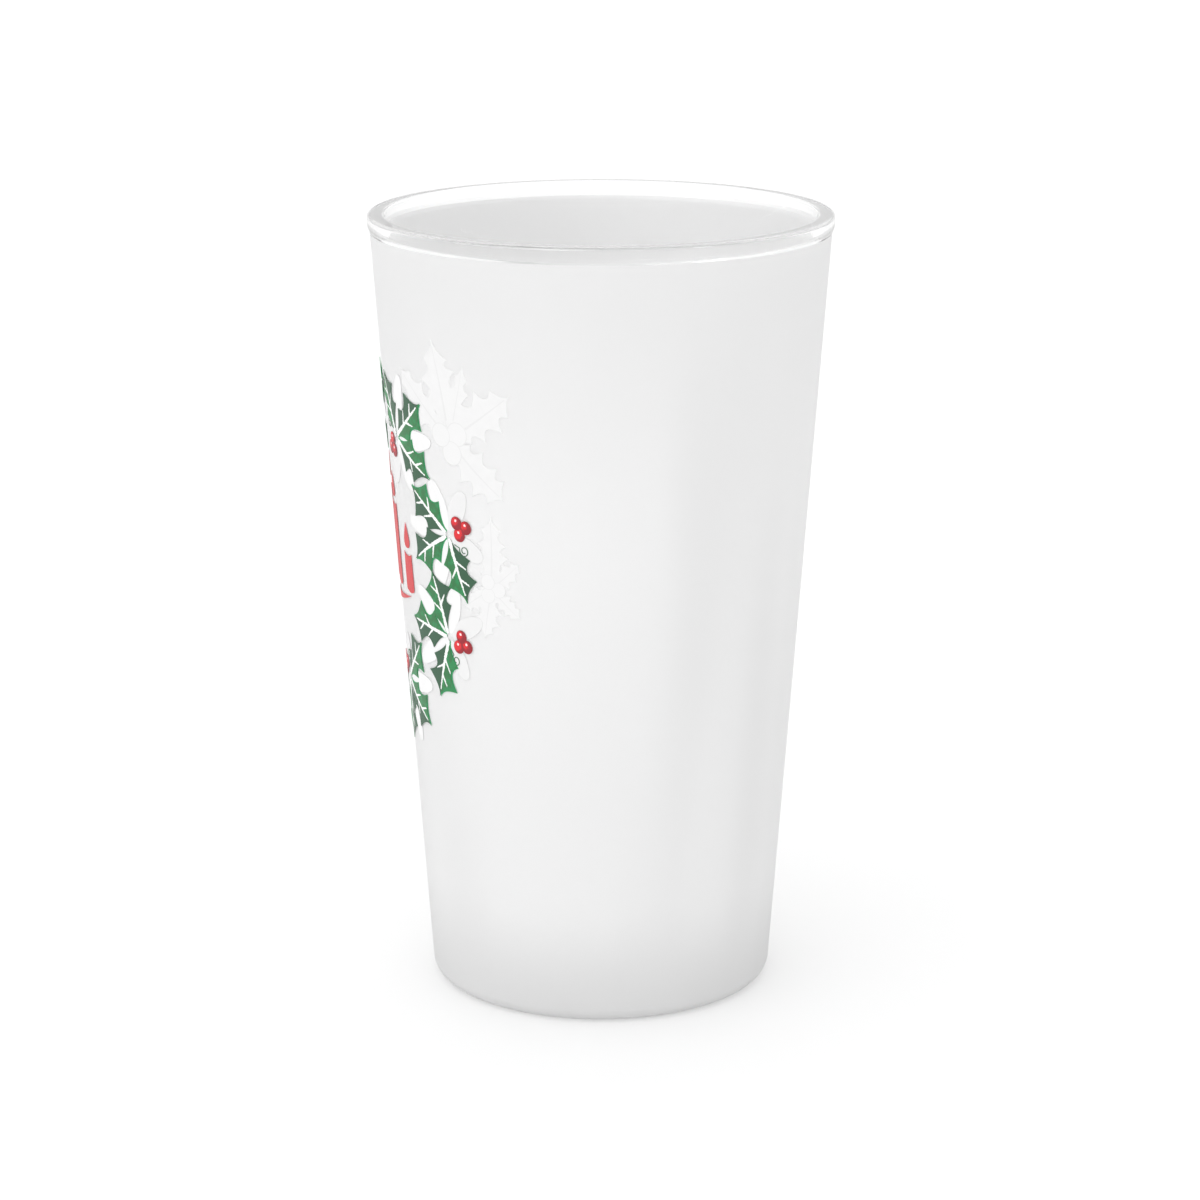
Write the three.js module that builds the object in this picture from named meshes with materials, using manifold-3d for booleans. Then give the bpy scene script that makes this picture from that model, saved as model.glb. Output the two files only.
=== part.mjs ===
// A frosted pint glass: a pressed glass tumbler, a frosted lacquer baked on its outside, and a holly
// wreath with candles printed over the lacquer, each patch of ink a film of its own.
// Millimetres, +Z up, origin at the centre of the foot, the printed side facing -Y.
import * as THREE from "three";
import { mergeVertices } from "three/addons/utils/BufferGeometryUtils.js";
import Module from "manifold-3d";

// Tumbler
const height = 150;
const rimDiameter = 88; // over the bead
const footDiameter = 65.6; // where the straight side would meet the table
const beadProud = 0.4; // how far the bead stands out from the side
const beadDepth = 4.2; // from the top of the rim down to the straight side
const beadFlat = 1; // upright stretch of the bead, under the rounded lip
const lipRound = 0.65; // on both edges of the lip
const lipWall = 3.3; // glass at the rim
const floorWall = 4.6; // glass beside the inside floor
const floorThickness = 14;
const floorRound = 7; // between the inside wall and the floor
const heelRound = 3; // outer edge of the foot
const restWidth = 5; // flat ring that stands on the table, inside the heel
const puntDepth = 2.4; // hollow under the foot

// Frosted lacquer
const clearBand = 3.2; // bare glass from the top of the rim down to the lacquer
const coatThickness = 0.08;
const coatGap = 0.03; // clearance between the glass and the lacquer

// Printed inks. Turns are in degrees, clockwise as the print is read.
const inkThickness = 0.06;
const inkGap = 0.07; // clearance between an ink film and what it lies on
const wreathDrop = 60.8; // from the lacquer's top edge down to the wreath's centre
const leafLength = 13.2;
const leafWidth = 7.6;
const leafTurns = [87, 164, 230]; // of a sprig's leaves, from the outward direction
const sprigGap = 8; // from a leaf's tip, along the wreath, to the next sprig's stem

// Sprigs round the wreath: turn from straight up, distance out from the stems' circle, and how far the
// whole sprig is twisted on its stem
const sprigs = [
  [32, -2.8, -145],
  [75, 1, 0],
  [112, 0.6, 0],
  [159, -5, 160],
  [198, 0, 0],
  [236, 0, 0],
  [275, 0, -145],
  [312, 0, 0],
  [350, 0, 0],
];
const berryDiameter = 2.6;
const berryClearance = 1; // from a sprig's stem to its three berries
const berryTurn = -12; // from the outward direction

// White leaves behind each sprig: turn from the outward direction, and length
const paleLeafWidth = 3.8;
const paleLeaves = [[-50, 9], [40, 8], [126, 12], [197, 12], [262, 10]];

// Large white sprigs beside the wreath: turn and distance out from the stem circle, the diameter of the
// berries, and each leaf's own turn from straight up, length and width
const whiteSprigs = [
  {
    turn: 51,
    out: 11,
    berry: 4.6,
    leaves: [[-10, 19, 9.6], [15, 15, 4.6], [53, 16.4, 9], [132, 15, 9], [-50, 18, 8]],
  },
  {
    turn: 91,
    out: 9.4,
    berry: 3,
    leaves: [[2, 14, 7.4], [48, 8, 4.4], [132, 8, 4.6], [192, 10, 6], [236, 8, 5]],
  },
];

// Candles on a tray inside the wreath
const candleCount = 5;
const candleWidth = 4;
const candleFoot = 6; // below the wreath's centre
const candleClearance = 0.4; // from the innermost leaf tips
const flameHeight = 5;
const flameWidth = 2.8;
const flameGap = 1;
const trayGap = 1; // between the candles and the tray
const traySag = 2.4;
const trayThickness = 1.5;

// Fineness of the faceted surfaces
const turns = 72; // flats round the glass
const gapShare = 0.85; // of the ink's gap, how much the middle of a bent film's flat may dip into

const wasm = await Module();
wasm.setup();

const rimRadius = rimDiameter / 2;
const footRadius = footDiameter / 2;
const sideTopRadius = rimRadius - beadProud;
const taper = Math.atan2(sideTopRadius - footRadius, height);
const heelReach = (heelRound * (1 - Math.sin(taper))) / Math.cos(taper); // heel's centre to the side
const coatTop = height - clearBand;
const radians = THREE.MathUtils.degToRad;

const pointAt = (turn, radius) => [radius * Math.sin(radians(turn)), radius * Math.cos(radians(turn))];

const countTo = (count) => Array.from({ length: count }, (_, i) => i);

// Radius of the straight side at a height, and of the whole outside with its bead.
const sideRadius = (z) => footRadius + ((sideTopRadius - footRadius) * z) / height;

function outsideRadius(z) {
  const share = THREE.MathUtils.smoothstep(z, height - beadDepth, height - lipRound - beadFlat);
  return THREE.MathUtils.lerp(sideRadius(z), rimRadius, share);
}

// Points on an arc, from one angle to another in radians, both ends included.
function arc(x, y, radius, from, to, steps) {
  return countTo(steps + 1).map((i) => {
    const angle = from + ((to - from) * i) / steps;
    return new THREE.Vector2(x + radius * Math.cos(angle), y + radius * Math.sin(angle));
  });
}

function heelArc() {
  return arc(footRadius - heelReach, heelRound, heelRound, -Math.PI / 2, -taper, 4);
}

function outsideBetween(low, high, steps) {
  return countTo(steps + 1).map((i) => {
    const z = low + ((high - low) * i) / steps;
    return new THREE.Vector2(outsideRadius(z), z);
  });
}

// The hollow under the foot, part of a ball's surface, from the axis out to the resting ring.
function punt() {
  const radius = footRadius - heelReach - restWidth;
  const ball = (radius ** 2 + puntDepth ** 2) / (2 * puntDepth);
  return arc(0, puntDepth - ball, ball, Math.PI / 2, Math.PI / 2 - Math.asin(radius / ball), 4);
}

// The inside wall leans from the lip to the floor, and rounds into the floor.
function inside() {
  const top = new THREE.Vector2(rimRadius - lipWall, height - lipRound);
  const foot = new THREE.Vector2(sideRadius(floorThickness) - floorWall, floorThickness);
  const lean = Math.atan2(top.x - foot.x, top.y - foot.y);
  const reach = (floorRound * (1 - Math.sin(lean))) / Math.cos(lean);
  const lip = arc(top.x + lipRound, top.y, lipRound, Math.PI / 2, Math.PI, 3);
  const corner = arc(foot.x - reach, foot.y + floorRound, floorRound, -lean, -Math.PI / 2, 5);
  return [...lip, ...corner, new THREE.Vector2(0, floorThickness)];
}

function revolve(profile) {
  return new THREE.LatheGeometry(profile, turns).rotateX(Math.PI / 2);
}

function tumbler() {
  const lip = arc(rimRadius - lipRound, height - lipRound, lipRound, 0, Math.PI / 2, 3);
  const side = outsideBetween(height - beadDepth, height - lipRound - beadFlat, 4);
  return revolve([...punt(), ...heelArc(), ...side, ...lip, ...inside()]);
}

// A profile moved outward by a distance, square to itself.
function offset(profile, distance) {
  return profile.map((point, i) => {
    const before = profile[Math.max(i - 1, 0)];
    const after = profile[Math.min(i + 1, profile.length - 1)];
    const along = after.clone().sub(before).normalize();
    return new THREE.Vector2(point.x + along.y * distance, point.y - along.x * distance);
  });
}

// The lacquer follows the glass from the second corner of its heel to the clear band, with a gap.
function coating() {
  const heel = heelArc().slice(1);
  const face = [...heel, ...outsideBetween(height - beadDepth, coatTop, 1)];
  const skin = [...offset(face, coatGap + coatThickness), ...offset(face, coatGap).reverse()];
  return revolve([...skin, skin[0].clone()]);
}

// Solids that can be joined, from geometry, and their triangles back.
const weld = 1e-4; // corners closer than this are one

function solidOf(geometry) {
  const bare = new THREE.BufferGeometry().setAttribute("position", geometry.getAttribute("position"));
  const merged = mergeVertices(bare.setIndex(geometry.index), weld);
  const vertProperties = merged.getAttribute("position").array;
  const triVerts = Uint32Array.from(merged.index.array);
  return new wasm.Manifold(new wasm.Mesh({ numProp: 3, vertProperties, triVerts }));
}

function joined(geometries) {
  return geometries.map(solidOf).reduce((a, b) => a.add(b));
}

function trianglesOf(solid) {
  const { vertProperties, triVerts } = solid.getMesh();
  const corners = Array.from(triVerts, (i) => new THREE.Vector3().fromArray(vertProperties, i * 3));
  return countTo(corners.length / 3).map((i) => corners.slice(3 * i, 3 * i + 3));
}

// Where the edge from a to b crosses x = at, worked out the same way from either end.
function crossing(a, b, at) {
  const [low, high] = a.x < b.x ? [a, b] : [b, a];
  return low.clone().lerp(high, (at - low.x) / (high.x - low.x)).setX(at);
}

// One triangle cut along the upright line x = at.
function splitAt(triangle, at) {
  const sides = triangle.map((p) => (Math.abs(p.x - at) < weld / 10 ? 0 : Math.sign(p.x - at)));
  if (!(sides.includes(1) && sides.includes(-1))) return [triangle];
  const onLine = sides.indexOf(0);
  const first = onLine >= 0 ? onLine : sides.findIndex((s) => sides.filter((t) => t === s).length === 1);
  const [p, q, r] = countTo(3).map((k) => triangle[(first + k) % 3]);
  if (onLine >= 0) {
    const middle = crossing(q, r, at);
    return [[p, q, middle], [p, middle, r]];
  }
  const m = crossing(p, q, at);
  const n = crossing(p, r, at);
  return [[p, m, n], [m, q, r], [m, r, n]];
}

// Cuts flat triangles a column apart, so that the patch can bend round the glass. A column is the widest
// flat whose middle still clears the lacquer where the glass is narrowest.
const columnWidth = Math.sqrt(8 * footRadius * inkGap * gapShare);

function cutIntoColumns(triangles) {
  const reach = triangles.flat().map((p) => p.x);
  const first = Math.ceil(Math.min(...reach) / columnWidth);
  const last = Math.floor(Math.max(...reach) / columnWidth);
  const lines = countTo(last - first + 1).map((i) => (first + i) * columnWidth);
  return lines.reduce((pieces, at) => pieces.flatMap((triangle) => splitAt(triangle, at)), triangles);
}

// Bends a flat solid round the lacquer: x runs round the glass, y up from the wreath's centre, z outward.
const wreathHeight = coatTop - wreathDrop;
const lacquerRadius = (z) => sideRadius(z) + (coatGap + coatThickness) / Math.cos(taper);

function wrapped(flat) {
  const corners = cutIntoColumns(trianglesOf(flat)).flat();
  const bent = corners.map((p) => {
    const z = wreathHeight + p.y;
    const angle = p.x / lacquerRadius(wreathHeight);
    const outward = new THREE.Vector3(Math.sin(angle), -Math.cos(angle), 0);
    return outward.multiplyScalar(lacquerRadius(z) + p.z).setZ(z);
  });
  return mergeVertices(new THREE.BufferGeometry().setFromPoints(bent), weld);
}

// A flat film of ink. The large white sprigs are printed first, then the pale leaves, then the colours.
const [sprigLift, paleLift, colourLift] = countTo(3).map((i) => inkGap + i * (inkThickness + inkGap));

function film(shape, lift, curveSegments) {
  const options = { depth: inkThickness, bevelEnabled: false, curveSegments };
  return new THREE.ExtrudeGeometry(shape, options).translate(0, 0, lift);
}

// The stems' circle leaves room for a leaf and the gap between one stem and the next.
const ringRadius = (leafLength + sprigGap) / (2 * Math.sin(Math.PI / sprigs.length));

// A holly leaf along +X from its stem: spines along each side, with hollow edges between them.
function hollyLeaf(length, width) {
  const spines = [[0, 0.06], [0.24, 0.66], [0.52, 1], [0.78, 0.74], [1, 0]]; // as shares of each half
  const hollow = 0.58; // how far an edge's middle stays out
  const half = width / 2;
  const shape = new THREE.Shape();
  const edge = (from, to, side) => {
    const x = (length * (from[0] + to[0])) / 2;
    const y = (side * half * hollow * (from[1] + to[1])) / 2;
    shape.quadraticCurveTo(x, y, length * to[0], side * half * to[1]);
  };
  shape.moveTo(0, -half * spines[0][1]);
  for (let i = 1; i < spines.length; i += 1) edge(spines[i - 1], spines[i], -1);
  for (let i = spines.length - 1; i > 0; i -= 1) edge(spines[i], spines[i - 1], 1);
  return shape;
}

// A plain leaf along +X, blunt at its stem so that leaves from one stem join.
function plainLeaf(length, width) {
  const blunt = width / 8;
  const shape = new THREE.Shape();
  shape.moveTo(0, -blunt);
  shape.quadraticCurveTo(length / 2, -width + blunt, length, 0);
  shape.quadraticCurveTo(length / 2, width - blunt, 0, blunt);
  return shape;
}

function disc(diameter) {
  return new THREE.Shape().absarc(0, 0, diameter / 2, 0, 2 * Math.PI);
}

// Places a leaf that was drawn along +X at a stem, pointing along its turn from straight up.
function pointing(geometry, x, y, turn) {
  return geometry.rotateZ(Math.PI / 2 - radians(turn)).translate(x, y, 0);
}

function sprigLeaves([turn, out, twist]) {
  const [x, y] = pointAt(turn, ringRadius + out);
  const leaf = hollyLeaf(leafLength, leafWidth);
  const leaves = leafTurns.map((leafTurn) => {
    return pointing(film(leaf, colourLift, 2), x, y, turn + twist + leafTurn);
  });
  return joined(leaves);
}

// Three berries that touch, as far from their middle as the corners of a triangle are.
const berrySpread = (diameter) => diameter * 0.54;

function berryCluster(x, y, turn, diameter, lift) {
  return [0, 120, 240].map((step) => {
    const [bx, by] = pointAt(turn + step, berrySpread(diameter));
    return film(disc(diameter), lift, 6).translate(x + bx, y + by, 0);
  });
}

function sprigBerries([turn, out, twist]) {
  const [x, y] = pointAt(turn, ringRadius + out);
  const reach = berryClearance + berrySpread(berryDiameter) + berryDiameter / 2;
  const [bx, by] = pointAt(turn + twist + berryTurn, reach);
  return joined(berryCluster(x + bx, y + by, turn + twist, berryDiameter, colourLift));
}

function sprigPaleLeaves([turn, out, twist]) {
  const [x, y] = pointAt(turn, ringRadius + out);
  const leaves = paleLeaves.map(([leafTurn, length]) => {
    return pointing(film(plainLeaf(length, paleLeafWidth), paleLift, 3), x, y, turn + twist + leafTurn);
  });
  return joined([film(disc(paleLeafWidth / 2), paleLift, 4).translate(x, y, 0), ...leaves]);
}

function whiteSprig({ turn, out, berry, leaves }) {
  const [x, y] = pointAt(turn, ringRadius + out);
  const blades = leaves.map(([leafTurn, length, width]) => {
    return pointing(film(hollyLeaf(length, width), sprigLift, 2), x, y, leafTurn);
  });
  return joined([...blades, ...berryCluster(x, y, turn, berry, sprigLift)]);
}

// The candles and the tray stay inside a circle that clears the innermost leaf tips.
function leafTipRadii([, out, twist]) {
  const tips = leafTurns.map((leafTurn) => pointAt(twist + leafTurn, leafLength));
  return tips.map(([across, outward]) => Math.hypot(ringRadius + out + outward, across));
}

const candleCircle = Math.min(...sprigs.flatMap(leafTipRadii)) - candleClearance;
const candleReach = Math.sqrt(candleCircle ** 2 - candleFoot ** 2) - candleWidth / 2; // to the outermost
const candlePlaces = countTo(candleCount).map((i) => candleReach * ((2 * i) / (candleCount - 1) - 1));

// Each flame's tip touches the circle, which sets the candle's height.
function candleTop(x) {
  const flameSide = Math.abs(x) + flameWidth / 2;
  return Math.sqrt(candleCircle ** 2 - flameSide ** 2) - flameHeight - flameGap;
}

function candle(x) {
  const half = candleWidth / 2;
  const round = candleWidth / 5;
  const tall = candleTop(x) + candleFoot;
  const shape = new THREE.Shape();
  shape.moveTo(-half + round, 0);
  shape.lineTo(half - round, 0);
  shape.quadraticCurveTo(half, 0, half, round);
  shape.lineTo(half, tall);
  shape.quadraticCurveTo(0, tall - round, -half, tall);
  shape.lineTo(-half, round);
  shape.quadraticCurveTo(-half, 0, -half + round, 0);
  return solidOf(film(shape, colourLift, 4).translate(x, -candleFoot, 0));
}

function flame(x) {
  const half = flameWidth / 2;
  const belly = flameHeight * 0.3;
  const shape = new THREE.Shape();
  shape.moveTo(0, 0);
  shape.quadraticCurveTo(half, 0, half, belly);
  shape.quadraticCurveTo(half * 0.7, flameHeight * 0.6, 0, flameHeight);
  shape.quadraticCurveTo(-half * 0.7, flameHeight * 0.6, -half, belly);
  shape.quadraticCurveTo(-half, 0, 0, 0);
  return solidOf(film(shape, colourLift, 4).translate(x, candleTop(x) + flameGap, 0));
}

function tray() {
  const top = -candleFoot - trayGap;
  const half = Math.sqrt(candleCircle ** 2 - top ** 2) - trayThickness;
  const shape = new THREE.Shape();
  shape.moveTo(-half, top);
  shape.quadraticCurveTo(0, top - traySag - trayThickness * 2, half, top);
  shape.quadraticCurveTo(0, top - traySag, -half, top);
  return solidOf(film(shape, colourLift, 10));
}

const clearGlass = { color: 0xf4f7f6, roughness: 0.04, metalness: 0, transparent: true, opacity: 0.35 };
const frost = { color: 0xeceded, roughness: 0.62, metalness: 0 };
const whiteInk = { color: 0xf7f7f6, roughness: 0.5, metalness: 0 };
const greenInk = { color: 0x426f52, roughness: 0.45, metalness: 0 };
const redInk = { color: 0xdb5054, roughness: 0.45, metalness: 0 };

const pintGlass = new THREE.Group();

function addPart(name, geometry, finish) {
  const mesh = new THREE.Mesh(geometry, new THREE.MeshStandardMaterial(finish));
  mesh.name = name;
  pintGlass.add(mesh);
}

addPart("glass_tumbler", tumbler(), clearGlass);
addPart("frost_coating", coating(), frost);

whiteSprigs.forEach((sprig, i) => {
  const flat = whiteSprig(sprig);
  addPart(`white_sprig_right_${i + 1}`, wrapped(flat), whiteInk);
  addPart(`white_sprig_left_${i + 1}`, wrapped(flat.mirror([1, 0, 0])), whiteInk);
});

sprigs.forEach((sprig, i) => {
  addPart(`pale_leaves_${i + 1}`, wrapped(sprigPaleLeaves(sprig)), whiteInk);
  addPart(`holly_leaves_${i + 1}`, wrapped(sprigLeaves(sprig)), greenInk);
  addPart(`holly_berries_${i + 1}`, wrapped(sprigBerries(sprig)), redInk);
});

candlePlaces.forEach((x, i) => {
  addPart(`candle_${i + 1}`, wrapped(candle(x)), redInk);
  addPart(`candle_flame_${i + 1}`, wrapped(flame(x)), redInk);
});
addPart("candle_tray", wrapped(tray()), redInk);

export default pintGlass;
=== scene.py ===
import math
import random

import bmesh
import bpy
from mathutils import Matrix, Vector


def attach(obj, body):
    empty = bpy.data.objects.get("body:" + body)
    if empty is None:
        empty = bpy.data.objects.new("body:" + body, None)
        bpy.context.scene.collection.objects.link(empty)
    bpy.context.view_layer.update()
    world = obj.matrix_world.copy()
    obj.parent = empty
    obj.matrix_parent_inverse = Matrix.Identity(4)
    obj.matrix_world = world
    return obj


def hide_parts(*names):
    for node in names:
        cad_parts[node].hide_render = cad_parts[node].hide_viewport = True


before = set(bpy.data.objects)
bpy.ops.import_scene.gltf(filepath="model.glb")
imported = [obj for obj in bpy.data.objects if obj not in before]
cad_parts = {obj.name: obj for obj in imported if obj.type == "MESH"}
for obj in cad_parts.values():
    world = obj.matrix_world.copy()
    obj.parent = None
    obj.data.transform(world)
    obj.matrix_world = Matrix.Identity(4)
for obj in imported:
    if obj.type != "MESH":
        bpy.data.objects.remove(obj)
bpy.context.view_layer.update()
print("frame loaded,", len(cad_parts), "nodes")


def arcPoints(x, y, radius, start, end, steps):
    angles = [start + (end - start) * i / steps for i in range(steps + 1)]
    return [(x + radius * math.cos(a), y + radius * math.sin(a)) for a in angles]


def curvePoints(start, control, end, steps):
    # a quadratic curve, without its first point
    points = []
    for i in range(1, steps + 1):
        t = i / steps
        a = (1 - t) ** 2
        b = 2 * t * (1 - t)
        points.append(tuple(a * p + b * q + t * t * r for p, q, r in zip(start, control, end)))
    return points


sharpAngle = 0.6  # radians; edges that bend more than this are left crisp
nearlyNothing = 1e-7  # metres
noiseRange = (0.3, 0.7)  # where most of a noise lies


def finishedMesh(name, bm):
    for face in bm.faces:
        face.smooth = True
    for edge in bm.edges:
        edge.smooth = edge.is_manifold and edge.calc_face_angle(0) < sharpAngle
    mesh = bpy.data.meshes.new(name)
    bm.to_mesh(mesh)
    bm.free()
    return mesh


def addObject(name, mesh, looks, slotName, *nodes):
    piece = bpy.data.objects.new(name, mesh)
    bpy.context.scene.collection.objects.link(piece)
    for look in looks:
        mesh.materials.append(look)
    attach(piece, "root")
    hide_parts(*nodes)
    return piece


class Wire:
    # an output socket; the usual operators add Math nodes
    def __init__(self, look, socket):
        self.look = look
        self.socket = socket

    def maths(self, operation, first, second=0.0):
        return self.look.node("ShaderNodeMath", {"operation": operation}, {0: first, 1: second})

    def __add__(self, other):
        return self.maths("ADD", self, other)

    def __radd__(self, other):
        return self.maths("ADD", other, self)

    def __sub__(self, other):
        return self.maths("SUBTRACT", self, other)

    def __rsub__(self, other):
        return self.maths("SUBTRACT", other, self)

    def __mul__(self, other):
        return self.maths("MULTIPLY", self, other)

    def __rmul__(self, other):
        return self.maths("MULTIPLY", other, self)

    def __gt__(self, other):
        return self.maths("GREATER_THAN", self, other)

    def __lt__(self, other):
        return self.maths("LESS_THAN", self, other)

    def __abs__(self):
        return self.maths("ABSOLUTE", self)

    def most(self, other):
        return self.maths("MAXIMUM", self, other)


class Look:
    # a node tree, and short ways to add to it
    def __init__(self, tree):
        self.tree = tree
        self.tree.nodes.clear()

    def node(self, kind, settings=None, values=None, output=0):
        made = self.tree.nodes.new(kind)
        for key, value in (settings or {}).items():
            setattr(made, key, value)
        for key, value in (values or {}).items():
            if isinstance(value, Wire):
                self.tree.links.new(value.socket, made.inputs[key])
            else:
                made.inputs[key].default_value = value
        return Wire(self, made.outputs[output] if made.outputs else None)

    def mix(self, factor, first, second):
        links = {"Factor": factor, 6: first, 7: second}
        return self.node("ShaderNodeMix", {"data_type": "RGBA"}, links, 2)

    def noise(self, where, scale, detail=2.0, rough=0.5):
        links = {"Vector": where, "Scale": scale, "Detail": detail, "Roughness": rough}
        return self.node("ShaderNodeTexNoise", {}, links)

    def spread(self, value, low, high, newLow=0.0, newHigh=1.0):
        links = {0: value, 1: low, 2: high, 3: newLow, 4: newHigh}
        return self.node("ShaderNodeMapRange", {"interpolation_type": "SMOOTHSTEP"}, links)

    def parts(self, where):
        first = self.node("ShaderNodeSeparateXYZ", {}, {0: where})
        return [Wire(self, out) for out in first.socket.node.outputs]

    def place(self, kind="Object"):
        return self.node("ShaderNodeTexCoord", {}, {}, kind)

    def printPlace(self):
        return self.node("ShaderNodeUVMap", {"uv_map": "print"})

    def stretched(self, where, scale):
        return self.node("ShaderNodeMapping", {}, {"Vector": where, "Scale": scale})

    def bump(self, height, strength, distance):
        links = {"Height": height, "Strength": strength, "Distance": distance}
        return self.node("ShaderNodeBump", {}, links)

    def finish(self, shader, kind="ShaderNodeOutputMaterial"):
        self.node(kind, {}, {"Surface": shader})


def newLook(name):
    material = bpy.data.materials.new(name)
    material.use_nodes = True
    look = Look(material.node_tree)
    look.material = material
    return look


def rgb(red, green, blue):
    # 0 to 255 as seen on a screen, to the light values that Blender works in
    def light(level):
        level = level / 255
        return level / 12.92 if level <= 0.04045 else ((level + 0.055) / 1.055) ** 2.4

    return (light(red), light(green), light(blue), 1)


tumbler = {
    "height": 0.150,
    "rimRadius": 0.044,
    "footRadius": 0.0328,  # where the straight side would meet the table
    "beadProud": 0.0004,
    "beadDepth": 0.0042,
    "beadFlat": 0.001,
    "lipRound": 0.00065,
    "lipWall": 0.0033,
    "floorWall": 0.0046,
    "floorThickness": 0.014,
    "floorRound": 0.007,
    "heelRound": 0.003,
    "restWidth": 0.005,
    "puntDepth": 0.0024,
    "turns": 360,  # flats round the glass
    # flats along each stretch of its profile
    "sideSteps": 12,
    "coatedBeadSteps": 5,
    "bareBeadSteps": 8,
    "heelSteps": 14,
    "puntSteps": 14,
    "lipSteps": 16,
    "wallSteps": 12,
    "bendSteps": 16,
    "floorSteps": 6,
    "sideStart": 0.012,  # lowest of the evenly spaced rings on the side
    "besideArc": 0.003,  # share of the inside wall from a rounding to the first ring beside it
    "besideHeel": 0.0004,
    "tint": rgb(253, 253, 253),
    "ior": 1.5,
    "ripple": 0.00002,  # height of the waves that pressing leaves
    "rippleScale": 55,
    "rippleStretch": (1, 1, 0.25),
    "rippleStrength": 0.06,
    "smearScale": 140,  # of faint finger marks
    "smearRange": (0.35, 0.8),
    "smearRoughness": 0.02,
}
lacquer = {
    "clearBand": 0.0032,  # bare glass above it
    "thickness": 0.00011,  # out from the glass
    "edge": 0.0009,  # how far it thins out below its top edge
    "bond": 0.00002,  # how far it grips into the glass, so that no air shows between them
    "heelStart": 20,  # degrees round the heel, from straight down
    "tint": rgb(250, 250, 250),
    "thin": rgb(241, 241, 241),  # towards the rim
    "thinFrom": 0.085,
    "paintedBaseShade": rgb(234, 234, 234),  # painted shade: the frost is made darker towards the foot
    "paintedBaseShadeTop": 0.026,
    "grain": 5200,  # of the satin surface
    "grainStrength": 0.1,
    "grainHeight": 0.00002,
    "satin": (0.4, 0.52),  # roughness
    "ior": 1.45,
    "grainRange": (0.35, 0.75),
    "grainTone": 0.2,  # how far the grain shows as tone
    "cloud": 40,  # of slow changes in thickness, in tall bands
    "cloudStretch": (1, 1, 0.06),
    "cloudRange": (0.35, 0.65),
    "cloudLeast": 0.3,
    "lightThrough": (0.42, 0.45),  # least and most of the light that it scatters inward
}

topRadius = tumbler["rimRadius"] - tumbler["beadProud"]
taper = math.atan2(topRadius - tumbler["footRadius"], tumbler["height"])
heelReach = tumbler["heelRound"] * (1 - math.sin(taper)) / math.cos(taper)
coatTop = tumbler["height"] - lacquer["clearBand"]
beadLow = tumbler["height"] - tumbler["beadDepth"]
beadHigh = tumbler["height"] - tumbler["lipRound"] - tumbler["beadFlat"]


def sideRadius(z):
    return tumbler["footRadius"] + (topRadius - tumbler["footRadius"]) * z / tumbler["height"]


def outsideRadius(z):
    share = min(max((z - beadLow) / (beadHigh - beadLow), 0), 1)
    share = share * share * (3 - 2 * share)
    return sideRadius(z) * (1 - share) + tumbler["rimRadius"] * share


def between(low, high, steps):
    return [low + (high - low) * i / steps for i in range(steps + 1)]


# the glass and the lacquer share these heights, so that neither cuts through the other
sideHeights = [tumbler["heelRound"] + tumbler["besideHeel"]]
sideHeights += between(tumbler["sideStart"], beadLow, tumbler["sideSteps"])
sideHeights += between(beadLow, coatTop, tumbler["coatedBeadSteps"])[1:]
sideHeights += between(coatTop, beadHigh, tumbler["bareBeadSteps"])[1:]


def heelArc(start):
    x = tumbler["footRadius"] - heelReach
    radius = tumbler["heelRound"]
    return arcPoints(x, radius, radius, start, -taper, tumbler["heelSteps"])


def sideFace(top):
    return [(outsideRadius(z), z) for z in sideHeights if z < top + nearlyNothing]


def puntPoints():
    radius = tumbler["footRadius"] - heelReach - tumbler["restWidth"]
    ball = (radius**2 + tumbler["puntDepth"] ** 2) / (2 * tumbler["puntDepth"])
    end = math.pi / 2 - math.asin(radius / ball)
    return arcPoints(0, tumbler["puntDepth"] - ball, ball, math.pi / 2, end, tumbler["puntSteps"])


def insidePoints():
    lipRound = tumbler["lipRound"]
    topX = tumbler["rimRadius"] - tumbler["lipWall"]
    topZ = tumbler["height"] - lipRound
    footZ = tumbler["floorThickness"]
    footX = sideRadius(footZ) - tumbler["floorWall"]
    lean = math.atan2(topX - footX, topZ - footZ)
    corner = tumbler["floorRound"]
    reach = corner * (1 - math.sin(lean)) / math.cos(lean)
    lip = arcPoints(topX + lipRound, topZ, lipRound, math.pi / 2, math.pi, tumbler["lipSteps"])
    bendFacts = (footX - reach, footZ + corner, corner, -lean, -math.pi / 2)
    bend = arcPoints(*bendFacts, tumbler["bendSteps"])
    beside = tumbler["besideArc"]
    shares = [beside] + between(0, 1, tumbler["wallSteps"])[1:-1] + [1 - beside]
    wallX = [lip[-1][0] * (1 - t) + bend[0][0] * t for t in shares]
    wallZ = [lip[-1][1] * (1 - t) + bend[0][1] * t for t in shares]
    floor = [(x, footZ) for x in between(footX - reach, 0, tumbler["floorSteps"])[1:]]
    return lip + list(zip(wallX, wallZ)) + bend + floor


def latheMesh(name, profile, closed):
    bm = bmesh.new()
    rings = []
    turns = tumbler["turns"]
    for x, z in profile:
        if x < nearlyNothing:
            rings.append([bm.verts.new((0, 0, z))])
            continue
        angles = [2 * math.pi * i / turns for i in range(turns)]
        rings.append([bm.verts.new((x * math.cos(a), x * math.sin(a), z)) for a in angles])
    pairs = list(zip(rings, rings[1:]))
    if closed:
        pairs.append((rings[-1], rings[0]))
    for low, high in pairs:
        for i in range(turns):
            j = (i + 1) % turns
            corners = [low[i % len(low)], low[j % len(low)], high[j % len(high)], high[i % len(high)]]
            bm.faces.new(list(dict.fromkeys(corners)))
    bmesh.ops.recalc_face_normals(bm, faces=bm.faces[:])
    return finishedMesh(name, bm)


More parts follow.
